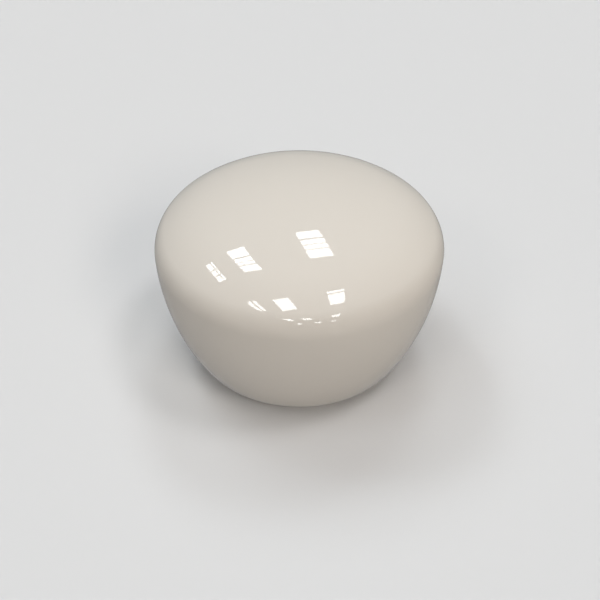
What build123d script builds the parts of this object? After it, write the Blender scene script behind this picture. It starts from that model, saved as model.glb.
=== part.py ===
from build123d import *
import math
import os

# A domed furniture knob of glazed porcelain, fixed from behind by one M4 screw.
# A threaded brass insert is set with cement in a blind pocket in the knob's foot.
# Millimetres. The knob stands on its foot ring: z = 0 is the ring's face, the
# axis is Z and the crown is at the top.

# Outside shape: a turned outline of five arcs, each tangent to the next
knob_diameter = 35.0  # at the widest ring
wall_height = 15.5  # from the foot ring's face to the widest ring
dome_rise = 6.8  # from the widest ring to the top of the crown
base_diameter = 27.0  # where the wall's curve would meet the foot plane
shoulder_radius = 3.6  # tight turn just above the widest ring
brow_radius = 13.5  # easier turn between the shoulder and the crown
crown_flatness = 1.18  # crown radius, over that of a crown tangent to the shoulder itself
foot_edge_radius = 2.6  # from the wall into the foot ring

# Underside
foot_ring_width = 2.0  # unglazed ring that the knob stands on, with its rounded inner edge
foot_recess_depth = 0.8  # keeps the middle clear of the drawer front
recess_edge_radius = 0.3  # both edges of the recess

# Insert for an M4 screw, closed at its inner end
insert_diameter = 8.0
insert_length = 11.5
insert_end_chamfer = 0.4
insert_end_wall = 1.0  # brass left beyond the drill point
thread_bore_diameter = 3.3  # minor diameter of the M4 thread
thread_mouth_chamfer = 0.5
drill_point_angle = 118.0
key_groove_depth = 0.6  # ring grooves that lock the insert in the cement
key_groove_width = 1.6
key_groove_count = 2

# Cement between the insert and the pocket
cement_thickness = 1.8  # around the insert
cement_over_end = 1.5  # beyond the insert's closed end
cement_set_back = 0.3  # from the recess floor, so that no cement stands proud

# Worked-out outline sizes
knob_radius = knob_diameter / 2
knob_height = wall_height + dome_rise
base_inset = knob_radius - base_diameter / 2
wall_radius = (base_inset**2 + wall_height**2) / (2 * base_inset)
shoulder_reach = knob_radius - shoulder_radius
plain_crown_radius = (shoulder_reach**2 + dome_rise**2 - shoulder_radius**2) / (
    2 * (dome_rise - shoulder_radius)
)
crown_radius = crown_flatness * plain_crown_radius

# Centres of the outline's arcs, as (distance from the axis, height)
shoulder_centre = Vector(shoulder_reach, wall_height)
crown_centre = Vector(0, knob_height - crown_radius)
wall_centre = Vector(knob_radius - wall_radius, wall_height)


def brow_arc_centre():
    """Centre of the arc that touches both the crown arc and the shoulder arc from inside."""
    link = shoulder_centre - crown_centre
    from_crown = crown_radius - brow_radius
    from_shoulder = brow_radius - shoulder_radius
    along = (from_crown**2 - from_shoulder**2 + link.length**2) / (2 * link.length)
    aside = math.sqrt(from_crown**2 - along**2)
    direction = link / link.length
    return crown_centre + direction * along + Vector(-direction.Y, direction.X) * aside


def foot_edge_centre():
    """Centre of the arc that touches the wall arc from inside and the foot plane."""
    drop = wall_height - foot_edge_radius
    reach = math.sqrt((wall_radius - foot_edge_radius) ** 2 - drop**2)
    return Vector(wall_centre.X + reach, foot_edge_radius)


brow_centre = brow_arc_centre()
foot_centre = foot_edge_centre()

# Worked-out underside sizes
foot_flat_radius = foot_centre.X
recess_radius = foot_flat_radius - foot_ring_width
pocket_radius = insert_diameter / 2 + cement_thickness
pocket_top = foot_recess_depth + insert_length + cement_over_end
insert_top = foot_recess_depth + insert_length
drill_point_length = thread_bore_diameter / 2 / math.tan(math.radians(drill_point_angle / 2))
bore_top = insert_top - insert_end_wall - drill_point_length


def elevation(start, end):
    """Angle of the line from start to end, in degrees above horizontal."""
    return math.degrees(math.atan2(end.Y - start.Y, end.X - start.X))


def arc(centre, radius, first_angle, last_angle):
    return CenterArc(centre, radius, first_angle, last_angle - first_angle)


def rod(radius, length):
    """An upright cylinder that stands on z = 0."""
    return Cylinder(radius, length, align=(Align.CENTER, Align.CENTER, Align.MIN))


def turn(outline):
    """Revolve an outline, drawn as (distance from the axis, height), about Z."""
    return revolve(Plane.XZ * make_face(outline), Axis.Z)


def outside_shape():
    """The whole knob as a solid form, before its underside is hollowed."""
    crown_edge = elevation(crown_centre, brow_centre)
    brow_edge = elevation(brow_centre, shoulder_centre)
    wall_edge = elevation(wall_centre, foot_centre)
    outline = [
        arc(crown_centre, crown_radius, 90, crown_edge),
        arc(brow_centre, brow_radius, crown_edge, brow_edge),
        arc(shoulder_centre, shoulder_radius, brow_edge, 0),
        arc(wall_centre, wall_radius, 0, wall_edge),
        arc(foot_centre, foot_edge_radius, wall_edge, -90),
        Line((foot_flat_radius, 0), (0, 0)),
        Line((0, 0), (0, knob_height)),
    ]
    return turn(Curve() + outline)


def foot_recess():
    """Shallow hollow inside the foot ring, with a rounded floor corner."""
    hollow = rod(recess_radius, foot_recess_depth)
    floor_corner = hollow.edges().group_by(Axis.Z)[-1]
    return fillet(floor_corner, recess_edge_radius)


def pocket():
    """Blind pocket for the insert, from the foot plane to its closed end."""
    return rod(pocket_radius, pocket_top)


def knob_body():
    body = outside_shape() - foot_recess()
    ring_edge = body.edges().filter_by(GeomType.CIRCLE).group_by(Axis.Z)[0].sort_by(SortBy.RADIUS)[0]
    return fillet(ring_edge, recess_edge_radius) - pocket()


def insert_blank():
    """The insert's outside, with its key grooves, before the thread is bored."""
    radius = insert_diameter / 2
    blank = Pos(Z=foot_recess_depth) * rod(radius, insert_length)
    blank = chamfer(blank.edges().group_by(Axis.Z)[-1], insert_end_chamfer)
    groove = Cylinder(radius, key_groove_width) - Cylinder(radius - key_groove_depth, key_groove_width)
    pitch = insert_length / (key_groove_count + 1)
    for number in range(1, key_groove_count + 1):
        blank -= Pos(Z=foot_recess_depth + number * pitch) * groove
    return blank


def thread_bore():
    """Tapping-size bore with a drill point inside and a chamfer at its mouth."""
    radius = thread_bore_diameter / 2
    mouth = foot_recess_depth
    outline = Polyline(
        (0, mouth),
        (radius + thread_mouth_chamfer, mouth),
        (radius, mouth + thread_mouth_chamfer),
        (radius, bore_top),
        (0, bore_top + drill_point_length),
        close=True,
    )
    return turn(outline)


def threaded_insert():
    return insert_blank() - thread_bore()


def insert_cement():
    """Cement that fills the pocket round the insert, a little short of its mouth."""
    start = foot_recess_depth + cement_set_back
    return Pos(Z=start) * rod(pocket_radius, pocket_top - start) - insert_blank()


os.makedirs("parts", exist_ok=True)
for piece in (knob_body, threaded_insert, insert_cement):
    export_step(piece(), f"parts/{piece.__name__}.step")

print(f"height {knob_height:.2f}, crown radius {crown_radius:.2f}, wall radius {wall_radius:.2f}")
print(f"foot ring from {recess_radius:.2f} to {foot_flat_radius:.2f}, pocket top {pocket_top:.2f}")
print(f"thread wall from {foot_recess_depth + thread_mouth_chamfer:.2f} to {bore_top:.2f}")
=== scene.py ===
# %% [markdown]
# # A domed porcelain furniture knob
# The real knob is three pieces: a glazed porcelain body, a brass insert with an M4 thread for the
# screw, and the cement that holds the insert in a pocket in the body's foot. All three are turned
# shapes, so each is modelled as on a lathe: half of its outline is drawn, and then spun round the
# axis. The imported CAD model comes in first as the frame. It fixes every size and place, so each piece
# below is made where it belongs, with its object left at the origin.

import math

import bmesh
import bpy
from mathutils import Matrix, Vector, noise


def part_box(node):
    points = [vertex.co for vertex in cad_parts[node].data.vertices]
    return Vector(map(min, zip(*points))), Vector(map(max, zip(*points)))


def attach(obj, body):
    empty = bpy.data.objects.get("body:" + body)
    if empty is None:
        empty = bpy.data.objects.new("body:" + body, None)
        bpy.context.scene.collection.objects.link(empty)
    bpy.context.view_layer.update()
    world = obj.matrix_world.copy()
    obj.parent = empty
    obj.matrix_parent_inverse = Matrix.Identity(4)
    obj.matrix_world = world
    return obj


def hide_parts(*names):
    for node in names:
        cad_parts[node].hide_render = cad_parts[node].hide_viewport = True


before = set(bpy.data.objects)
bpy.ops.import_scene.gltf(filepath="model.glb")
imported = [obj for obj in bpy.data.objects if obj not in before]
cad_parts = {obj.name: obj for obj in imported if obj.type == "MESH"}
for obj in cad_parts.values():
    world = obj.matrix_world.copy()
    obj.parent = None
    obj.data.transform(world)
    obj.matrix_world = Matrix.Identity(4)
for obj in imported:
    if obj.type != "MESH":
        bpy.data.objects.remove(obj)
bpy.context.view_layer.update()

mm = 0.001

# %% [markdown]
# ## Drawing an outline
# A lathe outline is a chain of straight lines and arcs. Typing in the points of an arc would hide
# its radius, so an arc is made as a compass makes it: the outline's last point is spun about the
# arc's centre, and leaves a trail of edges. A line is the last point extruded to a new place.
# Points are given as distance from the axis and height, in millimetres.

# %% Outline helpers
longest_step = 0.45  # mm between points along an arc
shortest_step = 0.05  # mm, so that a tiny rounding isn't cut too fine
widest_step = 2.5  # degrees between points along an arc


def start_outline(radius, height):
    """A new bmesh that holds only the outline's first point."""
    bm = bmesh.new()
    made = bmesh.ops.create_vert(bm, co=(radius * mm, 0, height * mm))
    return bm, made["vert"][0]


def line_to(bm, point, radius, height):
    """Extend the outline straight to a new point."""
    made = bmesh.ops.extrude_vert_indiv(bm, verts=[point])
    made["verts"][0].co = (radius * mm, 0, height * mm)
    return made["verts"][0]


def lines_to(bm, point, places):
    """Extend the outline straight through several points, one after the other."""
    for radius, height in places:
        point = line_to(bm, point, radius, height)
    return point


def arc_to(bm, point, centre, turn):
    """Extend the outline by an arc about a centre. A positive turn, in degrees, is clockwise."""
    middle = Vector((centre[0] * mm, 0, centre[1] * mm))
    length = (point.co - middle).length / mm * math.radians(abs(turn))
    by_angle = min(abs(turn) / widest_step, length / shortest_step)
    steps = math.ceil(max(by_angle, length / longest_step))
    made = bmesh.ops.spin(
        bm, geom=[point], cent=middle, axis=(0, 1, 0), angle=math.radians(turn), steps=steps
    )
    return made["geom_last"][0]


# %% [markdown]
# ### Easing a junction
# Where two arcs meet, the direction runs on smoothly but the curvature jumps, and a mirror-like
# glaze would show the jump as a kink in every reflection. Pressed clay and flowing glaze ease it.
# So each edge of the outline takes the average direction of its neighbours and keeps its own
# length, and the small drift that this leaves at the far end is shared out along the way.

# %% Easing helper


def ease_outline(points, reach):
    """Let the curvature change gradually along a run of outline points, with both ends kept."""
    edges = [after.co - before.co for before, after in zip(points, points[1:])]
    eased = []
    for number, edge in enumerate(edges):
        width = min(reach, number, len(edges) - 1 - number)
        near = edges[number - width:number + width + 1]
        eased.append(sum(near, Vector()).normalized() * edge.length)
    drift = sum(eased, Vector()) - sum(edges, Vector())
    place = points[0].co.copy()
    for number, edge in enumerate(eased, start=1):
        place += edge
        points[number].co = place - drift * number / len(eased)
    print("eased", len(points), "points, drift in mm:", round(drift.length / mm, 3))


# %% [markdown]
# ## From outline to solid
# A full spin copies the outline round the axis. `use_merge` joins the last copy to the first, and the
# points that lie on the axis are merged into one pole. The faces of a fresh spin can point inwards,
# so their normals are worked out again once the doubles are gone. Edges sharper than a set angle
# stay crisp, and the rest of the surface is shaded smooth, as a mirror-like glaze needs.

# %% Lathe helpers
round_steps = 256  # faces round the glazed body
crisp_angle = math.radians(35)
weld = 0.001 * mm


def spin_round(bm, steps):
    """Spin everything in the bmesh once round the Z axis."""
    bmesh.ops.spin(
        bm, geom=bm.verts[:] + bm.edges[:], cent=(0, 0, 0), axis=(0, 0, 1),
        angle=math.tau, steps=steps, use_merge=True,
    )
    bmesh.ops.remove_doubles(bm, verts=bm.verts, dist=weld)


def finish_piece(bm, name):
    """Turn a closed bmesh into a named object at the origin."""
    bmesh.ops.recalc_face_normals(bm, faces=bm.faces)
    for face in bm.faces:
        face.smooth = True
    for edge in bm.edges:
        edge.smooth = edge.calc_face_angle(0) < crisp_angle
    open_edges = sum(edge.is_boundary for edge in bm.edges)
    mesh = bpy.data.meshes.new(name)
    bm.to_mesh(mesh)
    bm.free()
    piece = bpy.data.objects.new(name, mesh)
    bpy.context.scene.collection.objects.link(piece)
    mesh.calc_loop_triangles()
    print(name, len(mesh.loop_triangles), "triangles,", open_edges, "open edges")
    return piece


# %% [markdown]
# ## The knob's outline
# A potter's template for this knob has five arcs that run into each other with no corner: a shallow
# crown, a quicker brow, a tight shoulder above the widest ring, a wall that leans in towards the
# foot, and a rounded foot edge. Only the radii and heights are stated. The centres follow from
# tangency: two arcs meet smoothly when the distance between their centres is the difference of
# their radii.

# %% Outline sizes
knob_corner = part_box("knob_body")[1]
knob_radius = knob_corner.x / mm
knob_height = knob_corner.z / mm

wall_height = 15.5  # foot ring to the widest ring
base_radius = 13.5  # where the wall's curve would meet the foot plane
shoulder_radius = 3.6
brow_radius = 13.5
crown_flatness = 1.18  # over a crown that is tangent to the shoulder itself
foot_edge_radius = 2.6

dome_rise = knob_height - wall_height
base_inset = knob_radius - base_radius
wall_radius = (base_inset**2 + wall_height**2) / (2 * base_inset)
shoulder = Vector((knob_radius - shoulder_radius, wall_height))
crown_radius = crown_flatness * (shoulder.x**2 + dome_rise**2 - shoulder_radius**2) / (
    2 * (dome_rise - shoulder_radius)
)
crown = Vector((0, knob_height - crown_radius))
wall = Vector((knob_radius - wall_radius, wall_height))
print("crown radius", round(crown_radius, 2), "wall radius", round(wall_radius, 2))

# %% Arc centres


def brow_centre():
    """Centre of the arc that touches the crown arc and the shoulder arc from inside."""
    link = shoulder - crown
    from_crown = crown_radius - brow_radius
    from_shoulder = brow_radius - shoulder_radius
    along = (from_crown**2 - from_shoulder**2 + link.length**2) / (2 * link.length)
    aside = math.sqrt(from_crown**2 - along**2)
    direction = link.normalized()
    return crown + direction * along + Vector((-direction.y, direction.x)) * aside


def elevation(start, end):
    """Angle of the line from start to end, in degrees above horizontal."""
    return math.degrees(math.atan2(end.y - start.y, end.x - start.x))


brow = brow_centre()
foot_reach = math.sqrt(
    (wall_radius - foot_edge_radius) ** 2 - (wall_height - foot_edge_radius) ** 2
)
foot = Vector((wall.x + foot_reach, foot_edge_radius))
crown_edge = elevation(crown, brow)
brow_edge = elevation(brow, shoulder)
wall_edge = elevation(wall, foot)
print("crown ends at", round(crown_edge, 1), "brow at", round(brow_edge, 1), "degrees")

# %% [markdown]
# ## Porcelain body
# The body is pressed porcelain, dipped in a clear glaze and fired standing on its foot. The foot ring
# is wiped bare before firing, or it would stick to the kiln shelf. Inside the ring the middle is set
# back a little, and a blind pocket takes the insert. The outline runs from the top of the crown, out
# and down to the ring, then up through the recess and the pocket, back to the axis. Every edge is
# rounded, since pressed clay holds no sharp one.

# %% Body
foot_ring_width = 2.0
recess_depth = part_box("threaded_insert")[0].z / mm
recess_edge_radius = 0.3
pocket_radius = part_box("insert_cement")[1].x / mm
pocket_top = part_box("insert_cement")[1].z / mm
pocket_lip = 0.15  # rounding at the pocket's mouth
junction_reach = 4  # outline steps over which the crown eases into the brow


def make_knob_body():
    recess_radius = foot.x - foot_ring_width
    bm, point = start_outline(0, knob_height)
    point = arc_to(bm, point, crown, 90 - crown_edge)
    point = arc_to(bm, point, brow, crown_edge - brow_edge)
    # So far the outline only runs outwards, so sorting by x puts its points in order.
    ease_outline(sorted(bm.verts, key=lambda vert: vert.co.x), junction_reach)
    point = arc_to(bm, point, shoulder, brow_edge)
    point = arc_to(bm, point, wall, -wall_edge)
    point = arc_to(bm, point, foot, wall_edge + 90)
    point = line_to(bm, point, recess_radius + recess_edge_radius, 0)
    point = arc_to(bm, point, (recess_radius + recess_edge_radius, recess_edge_radius), 90)
    corner = (recess_radius - recess_edge_radius, recess_depth - recess_edge_radius)
    point = line_to(bm, point, recess_radius, corner[1])
    point = arc_to(bm, point, corner, -90)
    point = line_to(bm, point, pocket_radius + pocket_lip, recess_depth)
    point = arc_to(bm, point, (pocket_radius + pocket_lip, recess_depth + pocket_lip), 90)
    point = line_to(bm, point, pocket_radius, pocket_top)
    line_to(bm, point, 0, pocket_top)
    print("outline points:", len(bm.verts))
    spin_round(bm, round_steps)
    return finish_piece(bm, "porcelain_body")


porcelain_body = make_knob_body()

# %% [markdown]
# ## Brass insert
# The insert is turned from brass bar. Its barrel is knurled and has two ring grooves, so that set
# cement locks it against both twist and pull. Its inner end is closed, to keep cement out of the
# thread. The outline leaves out one stretch: the wall of the bore, where the thread comes later.
# The cement has to follow the same barrel, so the barrel is a helper of its own.

# %% Insert blank
insert_steps = 96
insert_bottom = recess_depth
insert_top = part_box("threaded_insert")[1].z / mm
barrel_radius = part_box("threaded_insert")[1].x / mm
face_chamfer = 0.2
end_chamfer = 0.4
groove_depth = 0.6
groove_width = 1.6
groove_count = 2
bore_radius = 1.65
mouth_chamfer = 0.5
end_wall = 1.0
drill_point_angle = 118
drill_point_length = bore_radius / math.tan(math.radians(drill_point_angle / 2))
bore_bottom = insert_bottom + mouth_chamfer
bore_top = insert_top - end_wall - drill_point_length


def follow_barrel(bm, point):
    """Go up the barrel and through its grooves, then over the closed end to the axis."""
    groove_floor = barrel_radius - groove_depth
    spacing = (insert_top - insert_bottom) / (groove_count + 1)
    for number in range(1, groove_count + 1):
        start = insert_bottom + number * spacing - groove_width / 2
        end = start + groove_width
        groove = (
            (barrel_radius, start),
            (groove_floor, start),
            (groove_floor, end),
            (barrel_radius, end),
        )
        point = lines_to(bm, point, groove)
    closed_end = (
        (barrel_radius, insert_top - end_chamfer),
        (barrel_radius - end_chamfer, insert_top),
        (0, insert_top),
    )
    lines_to(bm, point, closed_end)


def insert_outline():
    """The outside of the insert, from the bore's mouth to the axis, then the drill point."""
    bm, point = start_outline(bore_radius, bore_bottom)
    face = (
        (bore_radius + mouth_chamfer, insert_bottom),
        (barrel_radius - face_chamfer, insert_bottom),
        (barrel_radius, insert_bottom + face_chamfer),
    )
    point = lines_to(bm, point, face)
    follow_barrel(bm, point)
    drill_tip = bmesh.ops.create_vert(bm, co=(0, 0, (bore_top + drill_point_length) * mm))
    line_to(bm, drill_tip["vert"][0], bore_radius, bore_top)
    return bm


# %% [markdown]
# ### Knurl
# A straight knurl is a row of small ridges along the barrel. After the spin, the points of the barrel
# stand in columns, and every second column is scaled in towards the axis. That makes 48 teeth with no
# modelling of a single one. The teeth point inwards, so the barrel keeps its diameter.

# %% Knurl helper
knurl_depth = 0.2


def knurl(bm):
    """Scale every second column of barrel points towards the axis."""
    on_barrel = [
        vert for vert in bm.verts
        if abs(vert.co.xy.length - barrel_radius * mm) < weld
    ]
    column_angle = math.tau / insert_steps
    odd = [
        vert for vert in on_barrel
        if round(math.atan2(vert.co.y, vert.co.x) / column_angle) % 2
    ]
    shrink = 1 - knurl_depth / barrel_radius
    bmesh.ops.scale(bm, vec=(shrink, shrink, 1), verts=odd)
    print("knurl teeth:", insert_steps // 2)


# %% [markdown]
# ### Thread
# An M4 thread has a pitch of 0.7 mm. The section of one groove is drawn for each turn, one above the
# other, and the chain is spun once with a rise of one pitch. Each groove then runs into the next one
# up, and merging the doubles joins them into a single helix. Its first and last grooves end in a
# small wall, as where a tap starts and stops, and bridged faces join the helix to the plain ends of
# the bore.

# %% Thread helpers
thread_pitch = 0.7
thread_root_radius = 2.0
thread_crest = thread_pitch / 4
thread_root = thread_pitch / 8
thread_flank = (thread_pitch - thread_crest - thread_root) / 2
thread_turns = 11
thread_start = (bore_bottom + bore_top - (thread_turns + 1) * thread_pitch) / 2


def add_thread(bm):
    """Spin a chain of groove sections with a rise of one pitch, and merge it into a helix."""
    made = bmesh.ops.create_vert(bm, co=(bore_radius * mm, 0, thread_start * mm))
    section = [made["vert"][0]]
    one_turn = (
        (bore_radius, thread_crest),
        (thread_root_radius, thread_crest + thread_flank),
        (thread_root_radius, thread_crest + thread_flank + thread_root),
        (bore_radius, thread_pitch),
    )
    for turn in range(thread_turns):
        for radius, rise in one_turn:
            height = thread_start + turn * thread_pitch + rise
            section.append(line_to(bm, section[-1], radius, height))
    edges = [edge for edge in bm.edges if edge.verts[0] in section and edge.verts[1] in section]
    made = bmesh.ops.spin(
        bm, geom=section + edges, cent=(0, 0, 0), axis=(0, 0, 1), angle=math.tau,
        steps=insert_steps, dvec=(0, 0, thread_pitch * mm / insert_steps),
    )
    last = [item for item in made["geom_last"] if isinstance(item, bmesh.types.BMVert)]
    last.sort(key=lambda vert: vert.co.z)
    groove_points = len(one_turn) + 1
    bm.faces.new(section[:groove_points])
    bm.faces.new(last[-groove_points:])
    bmesh.ops.remove_doubles(bm, verts=bm.verts, dist=weld)


def close_bore(bm):
    """Bridge each end of the helix to the plain ring of the bore next to it."""
    middle = (bore_bottom + bore_top) / 2 * mm
    rim = [edge for edge in bm.edges if edge.is_boundary]
    for above in (False, True):
        end = [edge for edge in rim if (edge.verts[0].co.z > middle) == above]
        bmesh.ops.bridge_loops(bm, edges=end)


# %% Insert


def make_threaded_insert():
    bm = insert_outline()
    spin_round(bm, insert_steps)
    knurl(bm)
    add_thread(bm)
    close_bore(bm)
    return finish_piece(bm, "brass_insert")


brass_insert = make_threaded_insert()

# %% [markdown]
# ## Cement
# The insert is set in the pocket with a mineral cement, poured in and wiped off just below the
# recess floor. Most of it is hidden, so it is one more lathe shape that follows the insert's
# grooves. The ring that shows at the mouth sags a little between porcelain and brass as the cement
# shrinks, and its sand makes it uneven, so that ring has more points and is roughened with noise.

# %% Cement
cement_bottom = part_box("insert_cement")[0].z / mm
cement_sag = 0.12
cement_ring_steps = 10
sand_size = 0.35
sand_height = 0.05


def make_cement():
    bm, point = start_outline(0, pocket_top)
    point = line_to(bm, point, pocket_radius, pocket_top)
    point = line_to(bm, point, pocket_radius, cement_bottom)
    ring_width = pocket_radius - barrel_radius
    for step in range(1, cement_ring_steps + 1):
        across = step / cement_ring_steps
        sag = cement_sag * math.sin(math.pi * across)
        point = line_to(bm, point, pocket_radius - ring_width * across, cement_bottom + sag)
    follow_barrel(bm, point)
    spin_round(bm, insert_steps)
    for vert in bm.verts:
        inside = barrel_radius * mm + weld < vert.co.xy.length < pocket_radius * mm - weld
        if inside and vert.co.z < (cement_bottom + 2 * cement_sag) * mm:
            vert.co.z += sand_height * mm * (1 + noise.noise(vert.co / (sand_size * mm)))
    return finish_piece(bm, "cement_ring")


cement_ring = make_cement()

# %% [markdown]
# ## Material helpers
# Colours are picked as sRGB hex values, as in any paint program, but Blender's shaders take linear
# light, so one function converts them. A second function adds a node, sets its values and makes its
# links, so that each material below reads as a short list of what its surface is made of.

# %% Colour and node helpers


def linear(hex_colour):
    """An sRGB hex colour as linear red, green, blue and alpha."""
    parts = [int(hex_colour[place:place + 2], 16) / 255 for place in (1, 3, 5)]
    return [
        part / 12.92 if part <= 0.04045 else ((part + 0.055) / 1.055) ** 2.4 for part in parts
    ] + [1]


def add_node(tree, kind, settings=None, **inputs):
    """Add a node. Settings are its own properties. Inputs go by name, with a _ for each space, or by
    number as i0, i1 and so on, and each is a value to set or a socket to link."""
    node = tree.nodes.new(kind)
    for name, value in (settings or {}).items():
        setattr(node, name, value)
    for name, value in inputs.items():
        number = int(name[1:]) if name[0] == "i" and name[1:].isdigit() else None
        socket = node.inputs[name.replace("_", " ") if number is None else number]
        if isinstance(value, bpy.types.NodeSocket):
            tree.links.new(value, socket)
        else:
            socket.default_value = value
    return node


def new_material(name):
    """An empty material, with its node tree and its output node."""
    material = bpy.data.materials.new(name)
    material.use_nodes = True
    tree = material.node_tree
    tree.nodes.clear()
    print("material:", name)
    return material, tree, add_node(tree, "ShaderNodeOutputMaterial")


# %% [markdown]
# ## Glazed porcelain
# The body is one material, because the glaze and the bare foot are one piece of fired clay. The glaze
# is a glassy film, so its index is that of glass, about 1.5, and its roughness is close to none.
# Below a line on the foot edge, and all over the underside, the clay is bare: matt, a little warmer,
# with a fine grain. That line is found from the height and the distance from the axis, and a slow
# noise makes it wander, as a hand-wiped glaze line does.

# %% Glazed porcelain
glaze_line_height = 0.35 * mm
glaze_line_wander = 0.18 * mm
wander_size = 4 * mm
clay_grain_size = 0.12 * mm


def make_glazed_porcelain():
    material, tree, output = new_material("glazed_porcelain_fired")
    place = add_node(tree, "ShaderNodeTexCoord").outputs["Object"]
    split = add_node(tree, "ShaderNodeSeparateXYZ", Vector=place)
    wander = add_node(tree, "ShaderNodeTexNoise", Vector=place, Scale=1 / wander_size, Detail=2.0)
    line = add_node(
        tree, "ShaderNodeMapRange", Value=wander.outputs["Fac"],
        i3=glaze_line_height - glaze_line_wander, i4=glaze_line_height + glaze_line_wander,
    )
    height = add_node(
        tree, "ShaderNodeMath", {"operation": "SUBTRACT"}, i0=split.outputs["Z"], i1=line.outputs[0]
    )
    glazed = add_node(
        tree, "ShaderNodeMapRange", {"interpolation_type": "SMOOTHSTEP"}, Value=height.outputs[0],
        i1=-0.02 * mm, i2=0.05 * mm,
    )
    level = add_node(tree, "ShaderNodeCombineXYZ", X=split.outputs["X"], Y=split.outputs["Y"])
    across = add_node(tree, "ShaderNodeVectorMath", {"operation": "LENGTH"}, i0=level.outputs[0])
    outside = add_node(
        tree, "ShaderNodeMath", {"operation": "GREATER_THAN"}, i0=across.outputs["Value"],
        i1=foot.x * mm,
    )
    above = add_node(
        tree, "ShaderNodeMath", {"operation": "GREATER_THAN"}, i0=split.outputs["Z"],
        i1=wall_height * mm,
    )
    dipped = add_node(
        tree, "ShaderNodeMath", {"operation": "MAXIMUM"}, i0=outside.outputs[0], i1=above.outputs[0]
    )
    glaze = add_node(
        tree, "ShaderNodeMath", {"operation": "MULTIPLY"}, i0=glazed.outputs[0], i1=dipped.outputs[0]
    )
    colour = add_node(
        tree, "ShaderNodeMix", {"data_type": "RGBA"}, i0=glaze.outputs[0],
        i6=linear("#CCC4B8"), i7=linear("#D1CAC1"),
    )
    roughness = add_node(
        tree, "ShaderNodeMapRange", Value=glaze.outputs[0], i3=0.75, i4=0.03
    )
    grain = add_node(tree, "ShaderNodeTexNoise", Vector=place, Scale=1 / clay_grain_size, Detail=3.0)
    bare = add_node(tree, "ShaderNodeMath", {"operation": "SUBTRACT"}, i0=1.0, i1=glaze.outputs[0])
    bump_height = add_node(
        tree, "ShaderNodeMath", {"operation": "MULTIPLY"}, i0=grain.outputs["Fac"], i1=bare.outputs[0]
    )
    bump = add_node(
        tree, "ShaderNodeBump", Strength=0.6, Distance=0.03 * mm, Height=bump_height.outputs[0]
    )
    surface = add_node(
        tree, "ShaderNodeBsdfPrincipled", Base_Color=colour.outputs[2], IOR=1.52,
        Roughness=roughness.outputs[0], Normal=bump.outputs[0],
    )
    tree.links.new(surface.outputs[0], output.inputs["Surface"])
    return material


glazed_porcelain = make_glazed_porcelain()

# %% [markdown]
# ## Turned brass
# The insert is cut on a lathe from free-cutting brass and left as turned. The tool leaves fine rings
# round the axis, here 0.12 mm apart. At a scale of one, a wave texture's rings repeat every tau / 20
# of a metre, and the scale follows from that. The metal is a warm yellow that has dulled in patches,
# with a middling roughness.

# %% Turned brass
turning_feed = 0.12 * mm
dull_patch_size = 1.2 * mm


def make_turned_brass():
    material, tree, output = new_material("turned_brass")
    place = add_node(tree, "ShaderNodeTexCoord").outputs["Object"]
    rings = add_node(
        tree, "ShaderNodeTexWave", {"wave_type": "RINGS", "rings_direction": "Z"},
        Vector=place, Scale=math.tau / (20 * turning_feed), Distortion=0.3,
    )
    dulling = add_node(
        tree, "ShaderNodeTexNoise", Vector=place, Scale=1 / dull_patch_size, Detail=4.0
    )
    colour = add_node(
        tree, "ShaderNodeMix", {"data_type": "RGBA"}, i0=dulling.outputs["Fac"],
        i6=linear("#D8B169"), i7=linear("#B98D4B"),
    )
    roughness = add_node(
        tree, "ShaderNodeMapRange", Value=dulling.outputs["Fac"], i3=0.22, i4=0.42
    )
    bump = add_node(
        tree, "ShaderNodeBump", Strength=0.35, Distance=0.01 * mm, Height=rings.outputs["Fac"]
    )
    surface = add_node(
        tree, "ShaderNodeBsdfPrincipled", Base_Color=colour.outputs[2], Metallic=1.0,
        Roughness=roughness.outputs[0], Normal=bump.outputs[0],
    )
    tree.links.new(surface.outputs[0], output.inputs["Surface"])
    return material


turned_brass = make_turned_brass()

# %% [markdown]
# ## Set cement
# The cement is a grey-white mineral paste with fine sand in it, wiped off wet. It is fully matt, and
# its colour breaks up at two sizes: soft patches where it dried unevenly, and single grains of sand.

# %% Set cement
dry_patch_size = 2.5 * mm
sand_spacing = 0.25 * mm


def make_set_cement():
    material, tree, output = new_material("set_cement")
    place = add_node(tree, "ShaderNodeTexCoord").outputs["Object"]
    patches = add_node(
        tree, "ShaderNodeTexNoise", Vector=place, Scale=1 / dry_patch_size, Detail=3.0
    )
    sand = add_node(tree, "ShaderNodeTexVoronoi", Vector=place, Scale=1 / sand_spacing)
    paste = add_node(
        tree, "ShaderNodeMix", {"data_type": "RGBA"}, i0=patches.outputs["Fac"],
        i6=linear("#B9B4AA"), i7=linear("#A39D92"),
    )
    grains = add_node(
        tree, "ShaderNodeMapRange", Value=sand.outputs["Distance"],
        i1=0.0, i2=0.35, i3=0.35, i4=0.0,
    )
    colour = add_node(
        tree, "ShaderNodeMix", {"data_type": "RGBA"}, i0=grains.outputs[0],
        i6=paste.outputs[2], i7=linear("#7D766B"),
    )
    bump = add_node(
        tree, "ShaderNodeBump", Strength=0.8, Distance=0.05 * mm, Height=sand.outputs["Distance"]
    )
    surface = add_node(
        tree, "ShaderNodeBsdfPrincipled", Base_Color=colour.outputs[2], Roughness=0.92,
        Normal=bump.outputs[0],
    )
    tree.links.new(surface.outputs[0], output.inputs["Surface"])
    return material


set_cement = make_set_cement()
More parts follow.
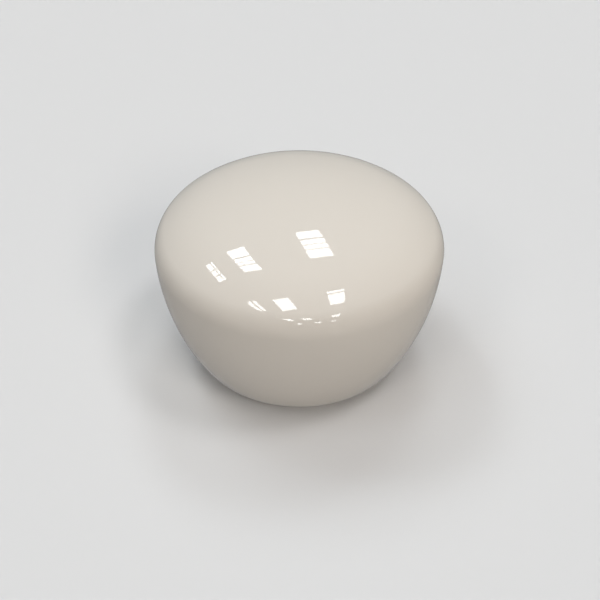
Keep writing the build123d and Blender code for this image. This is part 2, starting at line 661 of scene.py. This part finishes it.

# %% [markdown]
# ## Putting the pieces on the frame
# Each piece takes its material and rides on the knob's one body, and the CAD node it stands for is
# hidden.

# %% Frame links
for piece, material, node, slot in (
    (porcelain_body, glazed_porcelain, "knob_body", "glazed_porcelain"),
    (brass_insert, turned_brass, "threaded_insert", "brass"),
    (cement_ring, set_cement, "insert_cement", "cement"),
):
    piece.data.materials.append(material)
    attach(piece, "root")
    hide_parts(node)
    print(piece.name, "stands for", node)

# %% [markdown]
# ## Floor
# The knob stands on a plain, matt, pale sheet. It is far wider than any view needs. Glossy rays don't
# see it, because a bright sheet mirrored in the glaze would hide the soft shading of the knob's lower
# wall.

# %% Floor
floor_half_width = 2.5


def make_floor():
    bm = bmesh.new()
    bmesh.ops.create_grid(bm, x_segments=1, y_segments=1, size=floor_half_width)
    floor = finish_piece(bm, "floor")
    material, tree, output = new_material("pale_paper")
    surface = add_node(
        tree, "ShaderNodeBsdfPrincipled", Base_Color=linear("#CDCCCC"), Roughness=1.0,
        Specular_IOR_Level=0.0,
    )
    tree.links.new(surface.outputs[0], output.inputs["Surface"])
    floor.data.materials.append(material)
    floor.visible_glossy = False
    return floor


floor = make_floor()

# %% [markdown]
# ## Backdrop
# A low camera looks past the end of the floor, so a round pale wall stands near that end. It glows as
# brightly as the lit floor, and only the camera sees it: it lights nothing, shades nothing and isn't
# mirrored.

# %% Backdrop
backdrop_radius = 2.4
backdrop_height = 4.0
backdrop_steps = 96


def make_backdrop():
    bm = bmesh.new()
    bmesh.ops.create_circle(bm, segments=backdrop_steps, radius=backdrop_radius)
    wall = bmesh.ops.extrude_edge_only(bm, edges=bm.edges[:])
    top = [item for item in wall["geom"] if isinstance(item, bmesh.types.BMVert)]
    bmesh.ops.translate(bm, verts=top, vec=(0, 0, backdrop_height))
    backdrop = finish_piece(bm, "backdrop")
    material, tree, output = new_material("pale_backdrop")
    glow = add_node(tree, "ShaderNodeEmission", Color=linear("#DCDCDC"))
    tree.links.new(glow.outputs[0], output.inputs["Surface"])
    backdrop.data.materials.append(material)
    for kind in ("diffuse", "glossy", "transmission", "shadow"):
        setattr(backdrop, f"visible_{kind}", False)
    return backdrop


backdrop = make_backdrop()

# %% [markdown]
# ## Windows
# The glaze mirrors a room with roof windows in a level ceiling: three columns that run away over the
# camera's shoulder, in four rows, all turned a little about the vertical. Places and sizes are in
# multiples of the ceiling's height above the floor. Bars part some windows into panes, and each pane
# is an area light. The windows are only mirrored: soft boxes do the lighting, so diffuse rays don't
# see the panes.

# %% Window sizes
ceiling_height = 1.5
grid_turn = math.radians(17.85)
window_radiance = 11.0
usual_size = (0.150, 0.290)

# Middle of each window by row, from the right-hand column to the left-hand one
window_rows = (
    ((0.258, 0.510), (-0.229, 0.491), (-0.647, 0.439)),
    ((0.245, -0.329), (-0.238, -0.316), (-0.548, -0.288)),
    ((0.243, -1.157), (-0.234, -1.160), (-0.578, -1.189)),
    ((0.266, -2.176), (-0.160, -2.058), (-0.663, -2.117)),
)
# Windows that are longer or narrower than usual, by row and column
odd_sizes = {
    (0, 1): (0.161, 0.359),
    (0, 2): (0.140, 0.338),
    (1, 0): (0.156, 0.262),
    (1, 1): (0.153, 0.235),
    (1, 2): (0.115, 0.260),
}
# Bars as (place, width) in parts of the window: along it, then across it
cross_bars = {
    (0, 0): ((0.31, 0.06), (0.52, 0.028), (0.69, 0.028)),
    (0, 1): ((0.38, 0.045), (0.57, 0.02), (0.71, 0.04)),
    (0, 2): ((0.38, 0.06), (0.68, 0.05)),
    (1, 0): ((0.17, 0.07),),
}
long_bars = {(0, 2): ((0.72, 0.12),), (1, 2): ((0.56, 0.20),)}

# %% Window helpers


def clear_spans(bars):
    """The stretches between bars, each as (start, end) from 0 to 1."""
    edges = [0.0]
    for place, width in bars:
        edges += [place - width / 2, place + width / 2]
    edges.append(1.0)
    return list(zip(edges[::2], edges[1::2]))


def add_pane(name, middle, size):
    """A pane of light in the ceiling. Middle and size are in ceiling heights, along the grid."""
    data = bpy.data.lights.new(name, "AREA")
    data.shape = "RECTANGLE"
    data.size = size.x * ceiling_height
    data.size_y = size.y * ceiling_height
    # An area light's power is its radiance times pi times its area.
    data.energy = window_radiance * math.pi * data.size * data.size_y
    pane = bpy.data.objects.new(name, data)
    across = middle.x * math.cos(grid_turn) - middle.y * math.sin(grid_turn)
    along = middle.x * math.sin(grid_turn) + middle.y * math.cos(grid_turn)
    pane.location = Vector((across, along, 1)) * ceiling_height
    pane.rotation_euler = (0, 0, grid_turn)
    pane.visible_diffuse = False
    bpy.context.scene.collection.objects.link(pane)
    return pane


def add_window(row, column):
    """All the panes of one window."""
    middle = Vector(window_rows[row][column])
    whole = Vector(odd_sizes.get((row, column), usual_size))
    panes = []
    for top, bottom in clear_spans(cross_bars.get((row, column), ())):
        for left, right in clear_spans(long_bars.get((row, column), ())):
            offset = Vector(((left + right - 1) / 2, (1 - top - bottom) / 2))
            size = Vector(((right - left) * whole.x, (bottom - top) * whole.y))
            name = f"pane_{row}_{column}_{len(panes)}"
            panes.append(add_pane(name, middle + offset * whole, size))
    return panes


# %% Windows
panes = []
for row, columns in enumerate(window_rows):
    for column in range(len(columns)):
        panes += add_window(row, column)
print("panes:", len(panes))

# %% [markdown]
# ## Soft boxes
# A ring of far-away soft boxes lights the knob and gives its soft, overlapping shadows. A sun lamp
# with a wide angle does this well: its light is even all over the floor, and its angle sets how soft
# the shadow's edge is. The boxes in front are a little warm, and those behind and to the left are a
# little cool. Glossy rays don't see them, so they leave no round spots in the glaze.

# %% Soft boxes
box_angle = math.radians(14)
warm, plain, cool = "#FFF8EF", "#FFFFFF", "#F1FAFF"


def towards(azimuth, elevation_angle):
    """Unit vector into the room. Azimuth 0 is behind the knob, and 90 is to its right."""
    turn, rise = math.radians(azimuth), math.radians(elevation_angle)
    across, along = math.sin(turn) * math.cos(rise), math.cos(turn) * math.cos(rise)
    return Vector((across, along, math.sin(rise)))


def add_soft_box(azimuth, elevation_angle, colour, strength):
    name = f"soft_box_{azimuth}_{elevation_angle}"
    data = bpy.data.lights.new(name, "SUN")
    data.angle = box_angle
    data.color = linear(colour)[:3]
    data.energy = strength
    box = bpy.data.objects.new(name, data)
    box.rotation_euler = towards(azimuth, elevation_angle).to_track_quat("Z", "Y").to_euler()
    box.visible_glossy = False
    bpy.context.scene.collection.objects.link(box)
    return box


soft_boxes = [
    add_soft_box(azimuth, elevation_angle, colour, strength)
    for azimuth, elevation_angle, colour, strength in (
        (0, 48, cool, 0.19),
        (15, 56, cool, 0.43),
        (90, 66, plain, 0.60),
        (135, 40, warm, 0.465),
        (150, 30, warm, 0.55),
        (180, 78, warm, 0.31),
        (225, 40, warm, 0.26),
        (255, 56, cool, 0.145),
        (270, 78, plain, 0.205),
        (300, 48, cool, 0.185),
        (315, 56, cool, 0.42),
        (330, 48, cool, 0.27),
    )
]
print("soft boxes:", len(soft_boxes))

# %% [markdown]
# ## Room light
# The rest of the room is a soft world light: a plain base level and two broad glows, each brightest
# in one direction and fading smoothly round it. A glow's sharpness is the power of a cosine, worked
# out from the angle at which the glow has fallen to half. One glow is the ceiling. The other stands
# in for light thrown back by the floor, which the glaze doesn't mirror.

# %% Room light helper


def add_glow(tree, direction, azimuth, elevation_angle, half_angle, colour, strength):
    """A soft glow in the world, as a colour socket."""
    axis = towards(azimuth, elevation_angle)
    facing = add_node(
        tree, "ShaderNodeVectorMath", {"operation": "DOT_PRODUCT"}, i0=direction, i1=axis
    )
    kept = add_node(
        tree, "ShaderNodeMath", {"operation": "MAXIMUM"}, i0=facing.outputs["Value"], i1=0.0
    )
    sharpness = math.log(0.5) / math.log(math.cos(math.radians(half_angle)))
    fade = add_node(
        tree, "ShaderNodeMath", {"operation": "POWER"}, i0=kept.outputs[0], i1=sharpness
    )
    level = add_node(
        tree, "ShaderNodeMath", {"operation": "MULTIPLY"}, i0=fade.outputs[0], i1=strength
    )
    light = add_node(
        tree, "ShaderNodeVectorMath", {"operation": "SCALE"},
        i0=linear(colour)[:3], Scale=level.outputs[0],
    )
    return light.outputs[0]


# %% Room light
base_level = 0.13
# Azimuth, elevation, angle at which it has fallen to half, colour, strength
glows = ((0, 90, 40, "#F5FAFF", 0.29), (0, -45, 40, "#FFFFFF", 0.18))

world = bpy.data.worlds.new("room")
bpy.context.scene.world = world
world.use_nodes = True
room = world.node_tree
room.nodes.clear()
direction = add_node(room, "ShaderNodeTexCoord").outputs["Generated"]
total = add_node(room, "ShaderNodeCombineXYZ", X=base_level, Y=base_level, Z=base_level)
for glow in glows:
    total = add_node(
        room, "ShaderNodeVectorMath", {"operation": "ADD"},
        i0=total.outputs[0], i1=add_glow(room, direction, *glow),
    )
background = add_node(room, "ShaderNodeBackground", Color=total.outputs[0], Strength=1.0)
add_node(room, "ShaderNodeOutputWorld", Surface=background.outputs[0])
print("glows:", len(glows))

# %% [markdown]
# ## Camera
# A 50 mm lens looks down at about 42 degrees from a hand's width away. It aims at the axis about a
# quarter of the way up the knob, and a hair to the right, so that the knob stands just above the
# middle of the picture.

# %% Camera
camera_elevation = math.radians(41.56)
camera_distance = 107.98 * mm
aim = Vector((0.08, 0, 5.89)) * mm

camera_data = bpy.data.cameras.new("camera")
camera_data.lens = 50
camera_data.clip_start = 1 * mm
camera = bpy.data.objects.new("camera", camera_data)
back = Vector((0, -math.cos(camera_elevation), math.sin(camera_elevation)))
camera.location = aim + back * camera_distance
camera.rotation_euler = (math.pi / 2 - camera_elevation, 0, 0)
bpy.context.scene.collection.objects.link(camera)
bpy.context.scene.camera = camera
print("camera at, in mm:", [round(value / mm, 1) for value in camera.location])

# %% [markdown]
# ## View transform
# The standard view transform shows colours as they are, with no film-like curve. On an off-white
# knob such a curve would grey the floor and flatten the bright windows.

# %% View transform
bpy.context.scene.view_settings.view_transform = "Standard"
print("view transform:", bpy.context.scene.view_settings.view_transform)
